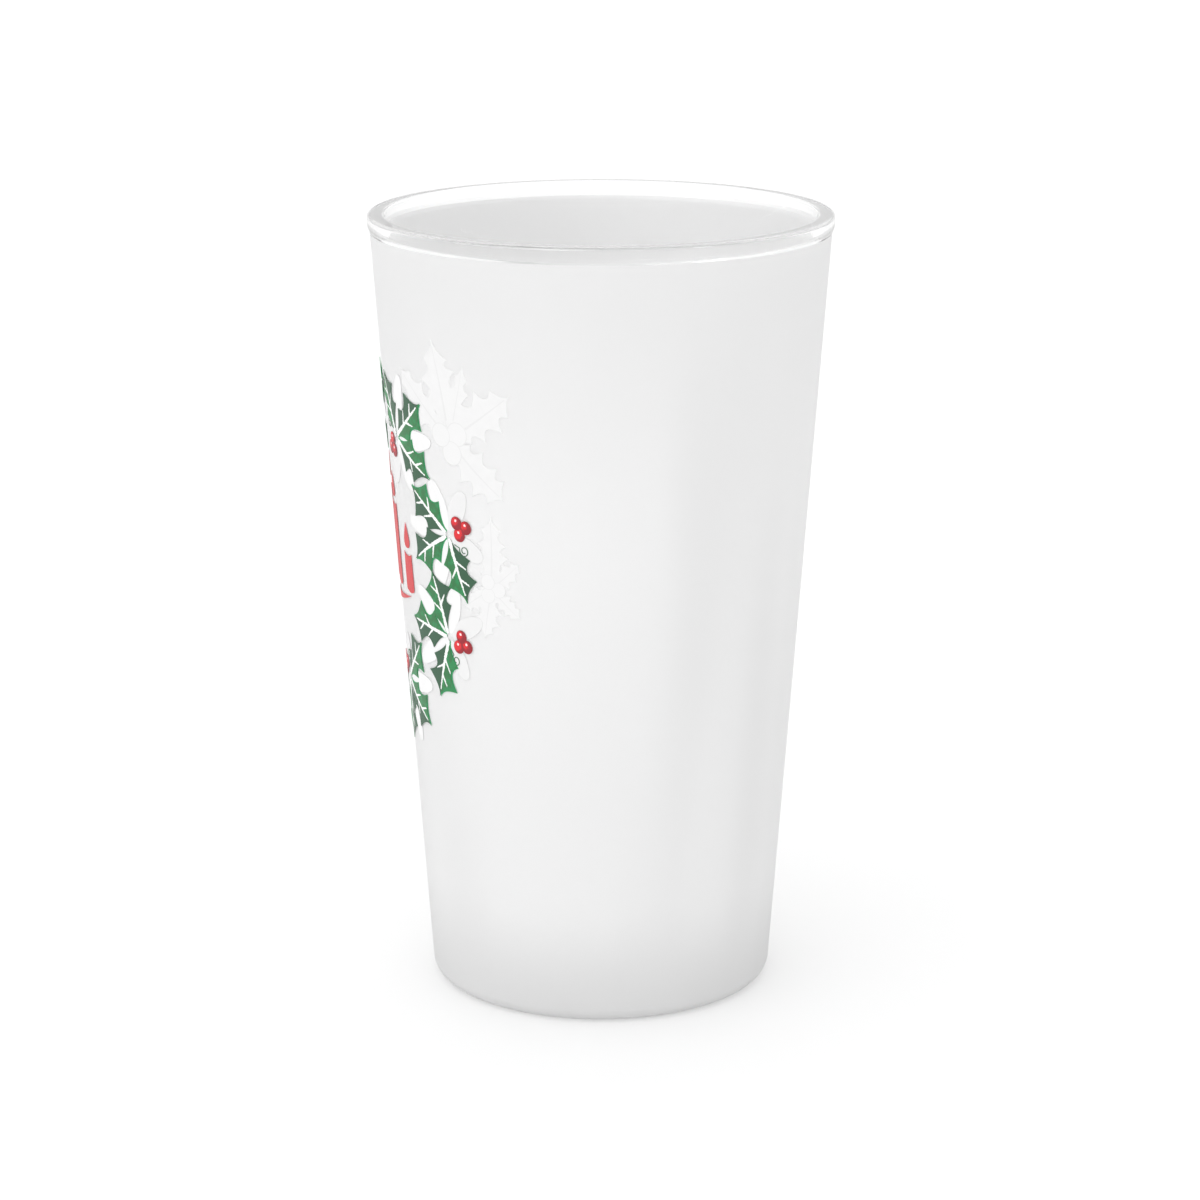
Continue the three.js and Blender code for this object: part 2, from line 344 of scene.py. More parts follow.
def clearGlass():
    look = newLook("clearGlass")
    where = look.place()
    ripple = look.noise(look.stretched(where, tumbler["rippleStretch"]), tumbler["rippleScale"], 1.0)
    smear = look.noise(where, tumbler["smearScale"], 3.0)
    surface = {
        "Base Color": tumbler["tint"],
        "Roughness": look.spread(smear, *tumbler["smearRange"], 0.0, tumbler["smearRoughness"]),
        "IOR": tumbler["ior"],
        "Transmission Weight": 1.0,
        "Normal": look.bump(ripple, tumbler["rippleStrength"], tumbler["ripple"]),
    }
    body = look.node("ShaderNodeBsdfPrincipled", {}, surface)
    through = look.node("ShaderNodeBsdfTransparent", {}, {"Color": tumbler["tint"]})
    shadowRay = look.node("ShaderNodeLightPath", {}, {}, "Is Shadow Ray")
    diffuseRay = look.node("ShaderNodeLightPath", {}, {}, "Is Diffuse Ray")
    lit = shadowRay.most(diffuseRay)
    look.finish(look.node("ShaderNodeMixShader", {}, {0: lit, 1: body, 2: through}))
    return look.material


def frostedLacquer():
    look = newLook("frostedLacquer")
    where = look.place()
    height = look.parts(where)[2]
    grain = look.noise(where, lacquer["grain"], 2.0, 0.6)
    cloud = look.noise(look.stretched(where, lacquer["cloudStretch"]), lacquer["cloud"], 1.0)
    lower = look.spread(height, lacquer["thinFrom"], tumbler["height"], 1.0, 0.0)
    body = look.spread(cloud, *lacquer["cloudRange"], lacquer["cloudLeast"], 1.0) * lower
    tone = look.mix(body, lacquer["thin"], lacquer["tint"])
    speckle = look.spread(grain, *lacquer["grainRange"], 0.0, lacquer["grainTone"])
    tone = look.mix(speckle, tone, lacquer["thin"])
    # painted shade: the frost's tone is darkened towards the foot, fading out at the given height
    tone = look.mix(look.spread(height, 0.0, lacquer["paintedBaseShadeTop"], 1.0, 0.0), tone, lacquer["paintedBaseShade"])
    surface = {
        "Base Color": tone,
        "Roughness": look.spread(grain, *noiseRange, *lacquer["satin"]),
        "IOR": lacquer["ior"],
        "Normal": look.bump(grain, lacquer["grainStrength"], lacquer["grainHeight"]),
    }
    skin = look.node("ShaderNodeBsdfPrincipled", {}, surface)
    glow = look.node("ShaderNodeBsdfTranslucent", {}, {"Color": tone})
    share = look.spread(cloud, *noiseRange, *lacquer["lightThrough"])
    look.finish(look.node("ShaderNodeMixShader", {}, {0: share, 1: skin, 2: glow}))
    return look.material


def addTumbler():
    lipRound = tumbler["lipRound"]
    lipX = tumbler["rimRadius"] - lipRound
    lipZ = tumbler["height"] - lipRound
    lip = arcPoints(lipX, lipZ, lipRound, 0, math.pi / 2, tumbler["lipSteps"])
    outside = heelArc(-math.pi / 2) + sideFace(beadHigh) + lip
    mesh = latheMesh("glassTumbler", puntPoints() + outside + insidePoints(), False)
    addObject("glassTumbler", mesh, [clearGlass()], "clear_glass", "glass_tumbler")


def offsetOut(points, distances):
    moved = []
    for i, (x, y) in enumerate(points):
        before = points[max(i - 1, 0)]
        after = points[min(i + 1, len(points) - 1)]
        along = Vector((after[0] - before[0], after[1] - before[1])).normalized()
        moved.append((x + along.y * distances[i], y - along.x * distances[i]))
    return moved


def addCoat():
    face = heelArc(math.radians(lacquer["heelStart"] - 90)) + sideFace(coatTop)
    thinning = [min((coatTop - z) / lacquer["edge"], 1) for x, z in face]
    outer = offsetOut(face, [lacquer["thickness"] * t for t in thinning])
    inner = offsetOut(face, [-lacquer["bond"]] * len(face))
    mesh = latheMesh("frostCoat", outer + inner[::-1], True)
    addObject("frostCoat", mesh, [frostedLacquer()], "frosted_lacquer", "frost_coating")


ink = {
    "thickness": 0.00005,
    "step": 0.00007,  # from one printed layer to the next
    "columnWidth": 0.0012,  # widest flat stretch of a bent film
    "wreathHeight": 0.086,
    "nudge": 0.000004,  # between shapes of one layer that cross
    "drift": 500,  # of slow changes in an ink's tone
    "driftMost": 0.8,
    "grain": 4200,  # of the printing screen
    "grainStrength": 0.12,
    "grainHeight": 0.00002,
    "satin": (0.4, 0.52),  # roughness
    "ior": 1.45,
}


def inkSkin(look, tone, where):
    # slightly raised mesh texture, semi-matte
    grain = look.noise(where, ink["grain"], 2.0, 0.6)
    surface = {
        "Base Color": tone,
        "Roughness": look.spread(grain, *noiseRange, *ink["satin"]),
        "IOR": ink["ior"],
        "Normal": look.bump(grain, ink["grainStrength"], ink["grainHeight"]),
    }
    look.finish(look.node("ShaderNodeBsdfPrincipled", {}, surface))
    return look.material


def plainInk(name, tone, worn):
    look = newLook(name)
    where = look.place()
    drift = look.spread(look.noise(where, ink["drift"], 3.0), *noiseRange, 0.0, ink["driftMost"])
    return inkSkin(look, look.mix(drift, tone, worn), where)


def centred(look):
    # the print map's own measures, from -1 to 1 each way
    spot = look.parts(look.printPlace())
    return (spot[0] - 0.5) * 2, (spot[1] - 0.5) * 2


def onSide(x, y, lift):
    # x runs round the glass, y up from the wreath's centre
    z = ink["wreathHeight"] + y
    skin = lacquer["thickness"] / math.cos(taper) + lift
    angle = x / (sideRadius(ink["wreathHeight"]) + skin)
    radius = sideRadius(z) + skin
    return Vector((radius * math.sin(angle), -radius * math.cos(angle), z))


def placed(points, x, y, turn):
    # shapes are drawn along +X and turned clockwise from straight up
    angle = math.pi / 2 - math.radians(turn)
    c = math.cos(angle)
    s = math.sin(angle)
    return [(x + px * c - py * s, y + px * s + py * c) for px, py in points]


def pointAt(turn, radius):
    return radius * math.sin(math.radians(turn)), radius * math.cos(math.radians(turn))


def filmMesh(name, patches):
    # each patch: its own outline, the outline where it is put, its size, layer and look
    bm = bmesh.new()
    printMap = bm.loops.layers.uv.new("print")
    for patch in patches:
        lift = patch.get("layer", 0) * ink["step"] + patch.get("nudge", 0)
        flat = [bm.verts.new((x, y, lift)) for x, y in patch["put"]]
        face = bm.faces.new(flat)
        face.material_index = patch.get("look", 0)
        wide, tall = patch["size"]
        offset = patch.get("offset", (0, 0.5))
        for corner, (x, y) in zip(face.loops, patch["own"]):
            corner[printMap].uv = (offset[0] + x / wide, offset[1] + y / tall)
    bm.normal_update()
    bmesh.ops.triangulate(bm, faces=bm.faces[:], ngon_method="EAR_CLIP")
    cutColumns(bm)
    made = bmesh.ops.extrude_face_region(bm, geom=bm.faces[:], use_keep_orig=True)
    raised = [g for g in made["geom"] if isinstance(g, bmesh.types.BMVert)]
    for v in raised:
        v.co.z += ink["thickness"]
    for v in bm.verts:
        v.co = onSide(v.co.x, v.co.y, v.co.z)
    bmesh.ops.recalc_face_normals(bm, faces=bm.faces[:])
    return finishedMesh(name, bm)


def cutColumns(bm):
    reach = [v.co.x for v in bm.verts]
    first = math.ceil(min(reach) / ink["columnWidth"])
    last = math.floor(max(reach) / ink["columnWidth"])
    for k in range(first, last + 1):
        every = bm.verts[:] + bm.edges[:] + bm.faces[:]
        at = (k * ink["columnWidth"], 0, 0)
        bmesh.ops.bisect_plane(bm, geom=every, plane_co=at, plane_no=(1, 0, 0), dist=nearlyNothing / 10)


hollyLeaf = {
    "spines": ((0, 0.07), (0.36, 0.84), (0.7, 1), (1, 0)),  # shares of length and half width
    "manySpines": ((0, 0.07), (0.22, 0.66), (0.43, 1), (0.64, 0.94), (0.83, 0.62), (1, 0)),
    "hollow": 0.12,  # how far the edges between spines stay out
    "lean": 0.6,  # 0.5 is even; more makes the spines point forward
    "jitter": 0.045,
    "dark": rgb(42, 84, 58),
    "middle": rgb(40, 110, 60),
    "bright": rgb(22, 146, 84),
    "brightWorn": rgb(40, 156, 96),
    "vein": rgb(240, 242, 240),
    "midrib": 0.085,  # half width before its taper, as a share of the leaf's half width
    "midribEnd": 0.88,
    "ribTaper": 1.3,  # times that width at the stem, and 1 less at the tip
    "ribBend": 0.22,
    "ribShift": 0.03,
    "sideRib": 0.028,  # half width of a side vein, along the leaf
    "sideRibThins": 0.03,
    "sideVeins": ((0.34, 0.5, 1), (0.44, 0.58, -1), (0.62, 0.75, 1)),  # start, end, side
    "slant": 0.3,
    "handScale": 2400,  # of the unsteady hand that brushed the veins
    "unsteady": 0.1,
    "sideUnsteady": 0.35,  # as a share of the midrib's
    "driftScale": 700,  # of the brighter green that shows through
    "driftRange": (0.45, 0.62),
    "driftMost": 0.5,
    "ghostSeed": 200,
}


def hollyOutline(length, width, seed, shares):
    dice = random.Random(seed)
    jitter = hollyLeaf["jitter"]
    lean = hollyLeaf["lean"]
    sides = []
    for side in (-1, 1):
        spines = []
        for t, h in shares:
            if 0 < t < 1:
                t = t + dice.uniform(-jitter, jitter)
                h = h * (1 + dice.uniform(-jitter, jitter) * 2.5)
            spines.append((t * length, side * h * width / 2))
        path = [spines[0]]
        for start, end in zip(spines, spines[1:]):
            middleHeight = (start[1] + end[1]) / 2
            control = (lean * start[0] + (1 - lean) * end[0], hollyLeaf["hollow"] * middleHeight)
            path += curvePoints(start, control, end, 8)
        sides.append(path)
    return sides[0] + sides[1][-2::-1]


def leafPatch(x, y, turn, length, width, seed, **facts):
    outline = hollyOutline(length, width, seed, facts.pop("spines", hollyLeaf["spines"]))
    shift = facts.pop("shift", (0, 0))
    moved = [(px + shift[0], py + shift[1]) for px, py in outline]
    return {"own": outline, "put": placed(moved, x, y, turn), "size": (length, width), **facts}


def ribAt(along):
    return (along - 0.5) * (along - 0.5) * hollyLeaf["ribBend"] - hollyLeaf["ribShift"]


def veins(look, along, across, wobble):
    # a tapering midrib and a few short side veins, brushed by hand
    side = across - ribAt(along)
    half = hollyLeaf["midrib"] * (hollyLeaf["ribTaper"] - along) + wobble
    marks = (abs(side) < half) * (along < hollyLeaf["midribEnd"])
    for start, end, hand in hollyLeaf["sideVeins"]:
        reach = (end - start) / hollyLeaf["slant"]
        out = side * hand
        slant = along - start - out * hollyLeaf["slant"]
        thin = hollyLeaf["sideRib"] - out * hollyLeaf["sideRibThins"]
        thin = thin + wobble * hollyLeaf["sideUnsteady"]
        marks = marks.most((abs(slant) < thin) * (abs(out - reach / 2) < reach / 2))
    return marks


def hollyInk(name, halfTurned):
    look = newLook(name)
    where = look.place()
    spot = look.parts(look.printPlace())
    along = spot[0]
    across = (spot[1] - 0.5) * 2
    wobble = (look.noise(where, hollyLeaf["handScale"], 2.0) - 0.5) * hollyLeaf["unsteady"]
    drift = look.noise(where, hollyLeaf["driftScale"], 2.0)
    drift = look.spread(drift, *hollyLeaf["driftRange"], 0.0, hollyLeaf["driftMost"])
    split = ((across - ribAt(along)) * halfTurned) > 0
    tone = look.mix(split, hollyLeaf["dark"], hollyLeaf["middle"])
    tone = look.mix(drift * split, tone, hollyLeaf["bright"])
    tone = look.mix(veins(look, along, across, wobble), tone, hollyLeaf["vein"])
    return inkSkin(look, tone, where)


berry = {
    "sides": 44,
    "bright": rgb(214, 30, 40),
    "deep": rgb(146, 20, 34),
    "shine": rgb(250, 226, 226),
    "dots": 3600,  # scale of the dots that shade it
    "dotReach": 0.9,
    "deepRange": (0.55, 1.1),  # away from the lit side, squared
    "shades": (0.45, 0.0),  # how far the dark side reaches over the two kinds of berry
    # places and sizes on the berry, whose radius is 1
    "litSide": (-0.35, 0.3),
    "shineAt": (-0.1, 0.38),
    "shineSize": 0.2,
    "shineRough": 0.04,
    "rimAt": 0.84,  # square of the radius where the dark rim starts
    "rimStrength": 0.7,
}


def discOutline(diameter):
    steps = berry["sides"] - 1
    return arcPoints(0, 0, diameter / 2, 0, 2 * math.pi * steps / berry["sides"], steps)


def berryPatches(x, y, turn, diameter, layer, looks):
    patches = []
    for i, step in enumerate((0, 120, 240)):
        bx, by = pointAt(turn + step, diameter * 0.5)
        own = discOutline(diameter)
        put = [(x + bx + px, y + by + py) for px, py in own]
        patch = {"own": own, "put": put, "size": (diameter, diameter), "offset": (0.5, 0.5)}
        patches.append({**patch, "layer": layer, "nudge": i * ink["nudge"], "look": looks[i]})
    return patches


def awayFrom(x, y, spot=(0, 0)):
    # square of the distance from a spot on the print map
    return (x - spot[0]) * (x - spot[0]) + (y - spot[1]) * (y - spot[1])


def berrySkin(name, shade):
    look = newLook(name)
    where = look.place()
    x, y = centred(look)
    dots = look.noise(where, berry["dots"], 1.0) - 0.5
    away = awayFrom(x, y, berry["litSide"]) + dots * berry["dotReach"] + shade
    tone = look.mix(look.spread(away, *berry["deepRange"]), berry["bright"], berry["deep"])
    away = awayFrom(x, y, berry["shineAt"]) + dots * berry["shineRough"]
    tone = look.mix(away < berry["shineSize"] ** 2, tone, berry["shine"])
    tone = look.mix((awayFrom(x, y) > berry["rimAt"]) * berry["rimStrength"], tone, berry["deep"])
    return inkSkin(look, tone, where)


wreath = {
    "leafLength": 0.0132,
    "leafWidth": 0.0082,
    "leafTurns": (87, 164, 230),  # of a sprig's leaves, from the outward direction
    "sprigGap": 0.008,
    "leafStart": 0.0007,  # from the stem to a leaf's base
    "berryDiameter": 0.0026,
    "berryTurn": -12,
    "berryReach": 0.0037,
    "edgeShift": 0.00022,  # how far the bright green shows past one side of a leaf
    # turn from straight up, distance out from the stems' circle, and twist of the whole sprig
    "sprigs": (
        (32, -0.0028, -145),
        (75, 0.001, 0),
        (112, 0.0006, 0),
        (159, -0.005, 160),
        (198, 0, 0),
        (236, 0, 0),
        (275, 0, -145),
        (312, 0, 0),
        (350, 0, 0),
    ),
}
stemSpacing = wreath["leafLength"] + wreath["sprigGap"]
wreath["ringRadius"] = stemSpacing / (2 * math.sin(math.pi / len(wreath["sprigs"])))


tendril = {
    "start": (62, 0.0022),  # turn from the sprig's direction, and distance from its stem
    "middle": (48, 0.0046),
    "outer": 0.00115,  # radius of the curl where it starts
    "inner": 0.0004,
    "rounds": 1.4,
    "width": 0.00013,
    "steps": 40,
    "layer": 2.4,
}


def tendrilPatch(x, y, turn):
    # a stalk that runs into a curl, as one ribbon
    sx, sy = pointAt(turn + tendril["start"][0], tendril["start"][1])
    mx, my = pointAt(turn + tendril["middle"][0], tendril["middle"][1])
    begin = math.atan2(sy - my, sx - mx)
    path = [(x + sx, y + sy)]
    for k in range(tendril["steps"] + 1):
        share = k / tendril["steps"]
        radius = tendril["outer"] * (1 - share) + tendril["inner"] * share
        angle = begin + 2 * math.pi * tendril["rounds"] * share
        path.append((x + mx + radius * math.cos(angle), y + my + radius * math.sin(angle)))
    sides = []
    half = tendril["width"] / 2
    for k, (px, py) in enumerate(path):
        before = path[max(k - 1, 0)]
        after = path[min(k + 1, len(path) - 1)]
        along = Vector((after[0] - before[0], after[1] - before[1])).normalized()
        left = (px - along.y * half, py + along.x * half)
        right = (px + along.y * half, py - along.x * half)
        sides.append((left, right))
    outline = [left for left, right in sides] + [right for left, right in sides[::-1]]
    return {"own": outline, "put": outline, "size": (1, 1), "layer": tendril["layer"], "look": 3}


def addHollyLeaves(i, x, y, turn, looks):
    patches = [tendrilPatch(x, y, turn)]
    length = wreath["leafLength"] - wreath["leafStart"]
    for k, leafTurn in enumerate(wreath["leafTurns"]):
        sx, sy = pointAt(turn + leafTurn, wreath["leafStart"])
        half = (i + k) % 2
        shape = (x + sx, y + sy, turn + leafTurn, length, wreath["leafWidth"], 10 * i + k)
        shift = (0, wreath["edgeShift"] * (1 - 2 * half))
        patches.append(leafPatch(*shape, layer=2, look=2, shift=shift))
        patches.append(leafPatch(*shape, layer=3, look=half))
    name = f"hollyLeaves{i + 1}"
    addObject(name, filmMesh(name, patches), looks, "green_ink", f"holly_leaves_{i + 1}")


def addHollyBerries(i, x, y, turn, looks):
    bx, by = pointAt(turn + wreath["berryTurn"], wreath["berryReach"])
    patches = berryPatches(x + bx, y + by, turn, wreath["berryDiameter"], 3, (0, 1, 0))
    name = f"hollyBerries{i + 1}"
    addObject(name, filmMesh(name, patches), looks, "red_ink", f"holly_berries_{i + 1}")


whiteInk = {
    "white": rgb(234, 234, 234),
    "thin": rgb(231, 231, 231),
    "faint": rgb(225, 225, 225),  # of the outward pale leaves
    "faintThin": rgb(223, 223, 223),
    "ghost": rgb(227, 227, 227),  # of the large sprigs
    "ghostThin": rgb(225, 225, 225),
    "line": rgb(220, 220, 220),
    "lineWidth": 0.05,  # of a ghost leaf's rib, as a share of its half width
    "lineEnd": 0.92,
    "handScale": 2600,
    "unsteady": 0.03,
    "ghostBerryLayer": 0.4,
}
paleLeaf = {
    "width": 0.0038,
    # turn from the sprig's direction, and length
    "leaves": ((-50, 0.009), (40, 0.008), (126, 0.012), (197, 0.012), (262, 0.010)),
}


def roundLeaf(length, width):
    # blunt at its stem and rounded at its tip
    near = [(0, -width / 12)]
    near += curvePoints(near[0], (length * 0.35, -width * 0.62), (length * 0.62, -width * 0.5), 9)
    near += curvePoints(near[-1], (length, -width * 0.38), (length, 0), 9)
    return near + [(px, -py) for px, py in near[-2::-1]]


def addPaleLeaves(i, x, y, turn, looks):
    patches = []
    width = paleLeaf["width"]
    for k, (leafTurn, length) in enumerate(paleLeaf["leaves"]):
        own = roundLeaf(length, width)
        sx, sy = pointAt(turn + leafTurn, wreath["leafStart"])
        put = placed(own, x + sx, y + sy, turn + leafTurn)
        outward = 1 if abs(leafTurn) < 90 else 0
        patch = {"own": own, "put": put, "size": (length, width), "look": outward}
        patches.append({**patch, "layer": 1, "nudge": k * ink["nudge"]})
    name = f"paleLeaves{i + 1}"
    addObject(name, filmMesh(name, patches), looks, "white_ink", f"pale_leaves_{i + 1}")


def addWreath():
    green = [hollyInk("greenInkLeft", 1), hollyInk("greenInkRight", -1)]
    green.append(plainInk("brightGreenInk", hollyLeaf["bright"], hollyLeaf["brightWorn"]))
    green.append(plainInk("stalkInk", hollyLeaf["dark"], hollyLeaf["middle"]))
    names = ("berryInk", "brightBerryInk")
    red = [berrySkin(name, shade) for name, shade in zip(names, berry["shades"])]
    white = [plainInk("paleLeafInk", whiteInk["white"], whiteInk["thin"])]
    white.append(plainInk("faintLeafInk", whiteInk["faint"], whiteInk["faintThin"]))
    for i, (turn, out, twist) in enumerate(wreath["sprigs"]):
        x, y = pointAt(turn, wreath["ringRadius"] + out)
        addHollyLeaves(i, x, y, turn + twist, green)
        addHollyBerries(i, x, y, turn + twist, red)
        addPaleLeaves(i, x, y, turn + twist, white)


# turn round the wreath, distance out from the stems' circle, berries, leaves (turn, length, width)
ghostSprigs = (
    {
        "turn": 51,
        "out": 0.011,
        "berry": 0.0046,
        "leaves": (
            (-10, 0.019, 0.0096),
            (15, 0.015, 0.0046),
            (53, 0.0164, 0.009),
            (132, 0.015, 0.009),
            (-50, 0.018, 0.008),
        ),
    },
    {
        "turn": 91,
        "out": 0.0094,
        "berry": 0.003,
        "leaves": (
            (2, 0.014, 0.0074),
            (48, 0.008, 0.0044),
            (132, 0.008, 0.0046),
            (192, 0.010, 0.006),
            (236, 0.008, 0.005),
        ),
    },
)


def ghostLeafInk():
    look = newLook("ghostLeafInk")
    where = look.place()
    spot = look.parts(look.printPlace())
    across = (spot[1] - 0.5) * 2
    along = spot[0]
    wobble = (look.noise(where, whiteInk["handScale"], 2.0) - 0.5) * whiteInk["unsteady"]
    half = whiteInk["lineWidth"] * (hollyLeaf["ribTaper"] - along) + wobble
    line = (abs(across - ribAt(along)) < half) * (along < whiteInk["lineEnd"])
    drift = look.spread(look.noise(where, ink["drift"], 3.0), *noiseRange)
    tone = look.mix(drift, whiteInk["ghost"], whiteInk["ghostThin"])
    return inkSkin(look, look.mix(line, tone, whiteInk["line"]), where)


def ghostBerryInk():
    look = newLook("ghostBerryInk")
    where = look.place()
    x, y = centred(look)
    line = awayFrom(x, y) > berry["rimAt"]
    return inkSkin(look, look.mix(line, whiteInk["ghost"], whiteInk["line"]), where)


def addGhostSprig(i, sprig, hand, side, looks):
    x, y = pointAt(sprig["turn"], wreath["ringRadius"] + sprig["out"])
    patches = []
    seed = hollyLeaf["ghostSeed"]
    for k, (turn, length, width) in enumerate(sprig["leaves"]):
        facts = {"spines": hollyLeaf["manySpines"], "nudge": k * ink["nudge"]}
        patches.append(leafPatch(x, y, turn, length, width, seed + 10 * i + k, **facts))
    patches += berryPatches(x, y, sprig["turn"], sprig["berry"], whiteInk["ghostBerryLayer"], (1, 1, 1))
    for patch in patches:
        patch["put"] = [(side * px, py) for px, py in patch["put"]]
    name = f"whiteSprig{hand}{i + 1}"
    addObject(name, filmMesh(name, patches), looks, "white_ink", f"white_sprig_{hand.lower()}_{i + 1}")


def addGhostSprigs():
    looks = [ghostLeafInk(), ghostBerryInk()]
    for i, sprig in enumerate(ghostSprigs):
        addGhostSprig(i, sprig, "Right", 1, looks)
        addGhostSprig(i, sprig, "Left", -1, looks)


candles = {
    "count": 5,
    "width": 0.004,
    "foot": 0.006,  # below the wreath's centre
    "clearance": 0.0004,
    "flameHeight": 0.005,
    "flameWidth": 0.0028,
    "flameGap": 0.001,
    "trayGap": 0.001,
    "traySag": 0.0024,
    "trayThickness": 0.0015,
    "waver": 0.00006,  # of a brushed edge
    "red": rgb(200, 44, 50),
    "core": rgb(208, 62, 66),
    "dry": rgb(232, 140, 140),
    "streaks": 9,  # across a stroke
    "streakRough": 0.65,
    "dryRange": (0.66, 0.72),
    "warmRange": (0.35, 0.6),
    "mostMix": 0.7,
    "rightSeed": 300,
    "leftSeed": 320,
}


def brushInk(name, alongScale):
    # streaks run the long way of the stroke, and the brush runs dry here and there
    look = newLook(name)
    where = look.place()
    spot = look.printPlace()
    stroke = look.stretched(spot, (candles["streaks"], alongScale, 1))
    streak = look.noise(stroke, 1.0, 3.0, candles["streakRough"])
    dry = look.spread(streak, *candles["dryRange"], 0.0, candles["mostMix"])
    warm = look.spread(streak, *candles["warmRange"], 0.0, candles["mostMix"])
    tone = look.mix(warm, candles["red"], candles["core"])
    return inkSkin(look, look.mix(dry, tone, candles["dry"]), where)


def tipRadii(out, twist):
    # how far the tips of a sprig's leaves are from the wreath's centre
    tips = [pointAt(twist + turn, wreath["leafLength"]) for turn in wreath["leafTurns"]]
    return [math.hypot(wreath["ringRadius"] + out + outward, across) for across, outward in tips]


def wavering(start, end, seed, steps=14):
    # a brushed edge between two points, without the first
    dice = random.Random(seed)
    points = []
    for k in range(1, steps + 1):
        t = k / steps
        swing = 0 if k == steps else dice.uniform(-1, 1) * candles["waver"]
        points.append((start[0] * (1 - t) + end[0] * t + swing, start[1] * (1 - t) + end[1] * t))
    return points


def addCandle(i, x, top, half, look):
    # the small numbers are shares of its half width
    low = -candles["foot"]
    own = [(-half * 0.6, low)]
    own += curvePoints((-half * 0.6, low), (0, low - half * 0.3), (half * 0.7, low), 6)
    own += curvePoints((half * 0.7, low), (half, low), (half, low + half * 0.5), 4)
    own += wavering((half, low + half * 0.5), (half * 0.92, top), candles["rightSeed"] + i)
    own += curvePoints((half * 0.92, top), (0, top - half * 0.5), (-half * 0.95, top + half * 0.05), 8)
    leftSeed = candles["leftSeed"] + i
    own += wavering((-half * 0.95, top + half * 0.05), (-half, low + half * 0.4), leftSeed)
    own += curvePoints((-half, low + half * 0.4), (-half, low), (-half * 0.6, low), 4)[:-1]
    put = [(x + px, py) for px, py in own]
    patch = {"own": own, "put": put, "size": (candles["width"], top - low), "layer": 2}
    patch["offset"] = (0.5, -low / (top - low))
    name = f"candle{i + 1}"
    addObject(name, filmMesh(name, [patch]), [look], "red_ink", f"candle_{i + 1}")


def addFlame(i, x, base, look):
    tall = candles["flameHeight"]
    half = candles["flameWidth"] / 2
    right = curvePoints((0, 0), (half, 0), (half, tall * 0.3), 8)
    right += curvePoints((half, tall * 0.3), (half * 0.7, tall * 0.6), (0, tall), 12)
    own = [(0, 0)] + right + [(-px, py) for px, py in right[-2::-1]]
    put = [(x + px, base + py) for px, py in own]
    patch = {"own": own, "put": put, "size": (2 * half, tall), "layer": 2, "offset": (0.5, 0)}
    name = f"flame{i + 1}"
    addObject(name, filmMesh(name, [patch]), [look], "red_ink", f"candle_flame_{i + 1}")


def addTray(circle, look):
    top = -candles["foot"] - candles["trayGap"]
    half = math.sqrt(circle**2 - top**2) - candles["trayThickness"]
    deep = top - candles["traySag"] - 2 * candles["trayThickness"]
    own = [(-half, top)]
    own += curvePoints((-half, top), (0, deep), (half, top), 30)
    own += curvePoints((half, top), (0, top - candles["traySag"]), (-half, top), 30)[:-1]
    patch = {"own": own, "put": own, "size": (2 * half, -deep), "layer": 2, "offset": (0.5, 1)}
    addObject("candleTray", filmMesh("candleTray", [patch]), [look], "red_ink", "candle_tray")


def addCandles():
    brush = brushInk("candleBrushInk", 1.6)
    flameLook = brushInk("flameBrushInk", 1.0)
    circle = min(min(tipRadii(out, twist)) for turn, out, twist in wreath["sprigs"]) - candles["clearance"]
    half = candles["width"] / 2
    reach = math.sqrt(circle**2 - candles["foot"] ** 2) - half
    for i in range(candles["count"]):
        x = reach * (2 * i / (candles["count"] - 1) - 1)
        top = math.sqrt(circle**2 - (abs(x) + candles["flameWidth"] / 2) ** 2)
        top -= candles["flameHeight"] + candles["flameGap"]
        addCandle(i, x, top, half, brush)
        addFlame(i, x, top + candles["flameGap"], flameLook)
    addTray(circle, brush)


studio = {
    "floorRadius": 9,
    "floorDrop": 0.00003,
    "floorTone": rgb(185, 185, 185),
    "floorPaler": rgb(189, 189, 189),
    "floorGlow": 0.35,  # a lit table, so that shadows stay pale
    "floorScale": 3.0,
    "floorRoughness": 0.8,
    "floorSides": 96,
    "skyTop": 1.36,
    "skyLow": 0.1,
    "skyClear": 0.32,  # height on the dome where the dark above the horizon ends
    "horizon": 1.0,
    "horizonFade": 0.105,  # heights on the dome where the bright of the horizon starts to fade, and ends
    "horizonTop": 0.15,
    # broad patches, lighter or darker: the side they are on, where they fade out and how strong they are
    "patches": (
        ((0.85, -0.4, 0.5), 0.4, 0.28),
        ((0.2, 1, 0.1), 0.4, -0.34),
    ),
    # lamps that show only in reflections: place, power and size
    "glossLamps": {
        "leftStrip": ((0.75, -0.75, 0.85), 22, (1.5, 1.0)),
        "rightStrip": ((0.6, 0.8, 0.6), 1, (0.15, 0.5)),
    },
    "lampTarget": (0, 0, 0.14),
    "lens": 105,
    "sensor": 36,
    "farthest": 100,
    "cameraAway": 0.6546,
    "cameraHeight": 0.2476,
    "lookDown": 14.82,
    "cameraAside": -0.0002,
}


def floorLook():
    look = newLook("paleFloor")
    mottle = look.noise(look.place(), studio["floorScale"])
    tone = look.mix(mottle, studio["floorTone"], studio["floorPaler"])
    surface = {
        "Base Color": tone,
        "Roughness": studio["floorRoughness"],
        "Emission Color": (1, 1, 1, 1),
        "Emission Strength": studio["floorGlow"],
    }
    look.finish(look.node("ShaderNodeBsdfPrincipled", {}, surface))
    return look.material


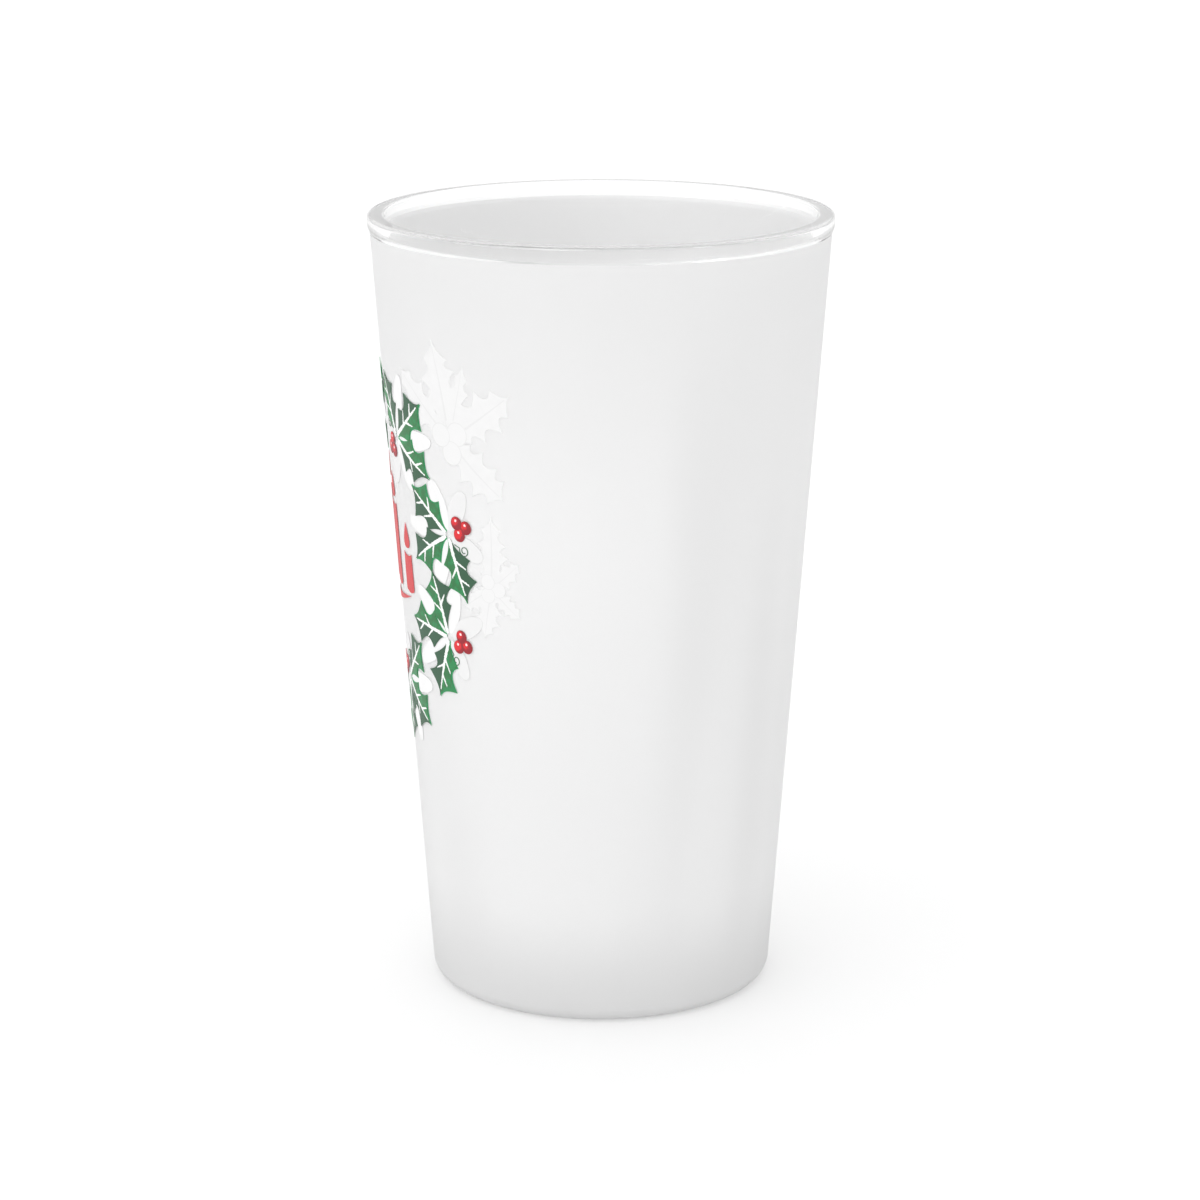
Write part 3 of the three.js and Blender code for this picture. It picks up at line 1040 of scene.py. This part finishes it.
def addFloor():
    bm = bmesh.new()
    size = {"segments": studio["floorSides"], "radius": studio["floorRadius"]}
    bmesh.ops.create_circle(bm, cap_ends=True, **size)
    mesh = bpy.data.meshes.new("paleFloor")
    bm.to_mesh(mesh)
    bm.free()
    floor = bpy.data.objects.new("paleFloor", mesh)
    bpy.context.scene.collection.objects.link(floor)
    floor.location.z = -studio["floorDrop"]
    mesh.materials.append(floorLook())


def addWorld():
    # an even dome over a dark belt and a bright horizon, with a broad soft key and a darker side
    world = bpy.data.worlds.new("studio")
    bpy.context.scene.world = world
    world.use_nodes = True
    look = Look(world.node_tree)
    where = look.place("Generated")
    height = look.parts(where)[2]
    power = look.spread(height, 0.0, studio["skyClear"], studio["skyLow"], studio["skyTop"])
    for side, edge, strength in studio["patches"]:
        along = tuple(Vector(side).normalized())
        links = {0: where, 1: along}
        facing = look.node("ShaderNodeVectorMath", {"operation": "DOT_PRODUCT"}, links, "Value")
        power = power + look.spread(facing, edge, 1.0, 0.0, strength)
    low = look.spread(height, studio["horizonFade"], studio["horizonTop"], 1.0, 0.0)
    power = low * studio["horizon"] + (1 - low) * power
    light = look.node("ShaderNodeBackground", {}, {"Strength": power, "Color": (1, 1, 1, 1)})
    look.finish(light, "ShaderNodeOutputWorld")


def addGlossLamp(name, where, power, size):
    lamp = bpy.data.lights.new(name, "AREA")
    lamp.energy = power
    lamp.shape = "RECTANGLE"
    lamp.size, lamp.size_y = size
    holder = bpy.data.objects.new(name, lamp)
    bpy.context.scene.collection.objects.link(holder)
    holder.visible_diffuse = False
    holder.location = where
    along = Vector(studio["lampTarget"]) - Vector(where)
    holder.rotation_euler = along.to_track_quat("-Z", "Y").to_euler()


def addCamera():
    camera = bpy.data.cameras.new("camera")
    camera.lens = studio["lens"]
    camera.sensor_width = studio["sensor"]
    camera.clip_end = studio["farthest"]
    holder = bpy.data.objects.new("camera", camera)
    bpy.context.scene.collection.objects.link(holder)
    holder.location = (studio["cameraAway"], studio["cameraAside"], studio["cameraHeight"])
    holder.rotation_euler = (math.radians(90 - studio["lookDown"]), 0, math.radians(90))
    bpy.context.scene.camera = holder


addTumbler()
addCoat()
print("glass and frost made")
addGhostSprigs()
addWreath()
addCandles()
print("print made")
addFloor()
addWorld()
for name, facts in studio["glossLamps"].items():
    addGlossLamp(name, *facts)
addCamera()
bpy.context.scene.view_settings.view_transform = "Standard"
print("studio made")
